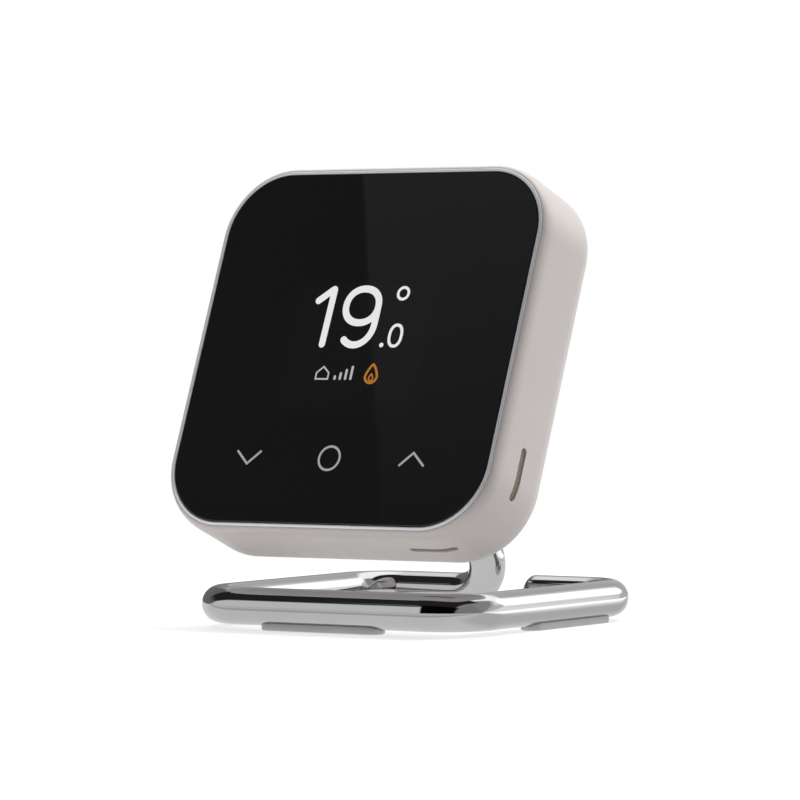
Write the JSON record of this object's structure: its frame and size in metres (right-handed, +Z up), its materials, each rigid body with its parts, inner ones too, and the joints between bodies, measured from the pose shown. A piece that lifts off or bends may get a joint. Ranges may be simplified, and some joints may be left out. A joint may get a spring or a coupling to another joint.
{
  "type": "room thermostat on a rod stand",
  "caption": "Square room thermostat with a black glass touch front, in a pale housing that leans back on a bent chrome rod stand.",
  "frame": {"origin": "middle of the footprint, on the surface that the feet stand on", "axes": "+Z up, -Y the way the glass faces, +X to the right of someone who reads the display"},
  "size_m": [0.083, 0.0736, 0.0972],
  "materials": {
    "chrome": "polished",
    "foot_rubber": "matte",
    "body_plastic": "satin",
    "front_glass_black": "gloss",
    "bezel_silver": "polished",
    "black_foam": "matte",
    "screen_black": "satin",
    "film_amber": "satin",
    "clear_plastic": "satin",
    "white_plastic": "satin",
    "lit_symbol": "satin",
    "board_green": "satin",
    "steel": "satin",
    "nickel": "satin",
    "chip_black": "matte",
    "shield_taupe": "matte",
    "cell_sleeve": "satin",
    "tray_grey": "matte",
    "dark_rubber": "matte"
  },
  "bodies": {
    "stand": {"stand_rod": "chrome", "rod_end_plug": "chrome", "foot_front": "foot_rubber", "foot_left": "foot_rubber", "foot_right": "foot_rubber"},
    "mount": {"back_plate": "body_plastic", "stand_socket": "tray_grey", "socket_sleeve": "dark_rubber", "socket_screw_left": "steel", "socket_screw_right": "steel"},
    "head": {"housing": "body_plastic", "front_glass": "front_glass_black", "bezel_ring": "bezel_silver", "glass_tape": "black_foam", "display_gasket": "black_foam", "display_module": "screen_black", "display_ribbon": "film_amber", "touch_film": "film_amber", "icon_light_bar": "clear_plastic", "icon_light_1": "lit_symbol", "icon_light_2": "lit_symbol", "icon_light_3": "lit_symbol", "main_board": "board_green", "radio_module": "steel", "processor": "chip_black", "ribbon_socket": "white_plastic", "reset_switch": "chip_black", "temperature_sensor": "chip_black", "sensor_shield": "shield_taupe", "battery_left": "cell_sleeve", "battery_right": "cell_sleeve", "battery_spring_left": "nickel", "battery_spring_right": "nickel", "contact_left_bottom": "nickel", "contact_left_top": "nickel", "contact_right_bottom": "nickel", "contact_right_top": "nickel", "battery_tray": "tray_grey", "tray_screw_1": "steel", "tray_screw_2": "steel", "tray_screw_3": "steel", "tray_screw_4": "steel"},
    "reset_key": {"reset_button": "white_plastic"}
  },
  "joints": [
    {"name": "mount_pull_off", "type": "slide", "parent": "stand", "child": "mount", "axis": [0, -0.9262, 0.377], "range_m": [0, 0.012]},
    {"name": "head_pull_off", "type": "slide", "parent": "mount", "child": "head", "axis": [0, -0.9262, 0.377], "range_m": [0, 0.014]},
    {"name": "reset_press", "type": "slide", "parent": "head", "child": "reset_key", "axis": [0, -0.9262, 0.377], "range_m": [0, 0.00035], "stiffness_N_per_m": 400}
  ]
}
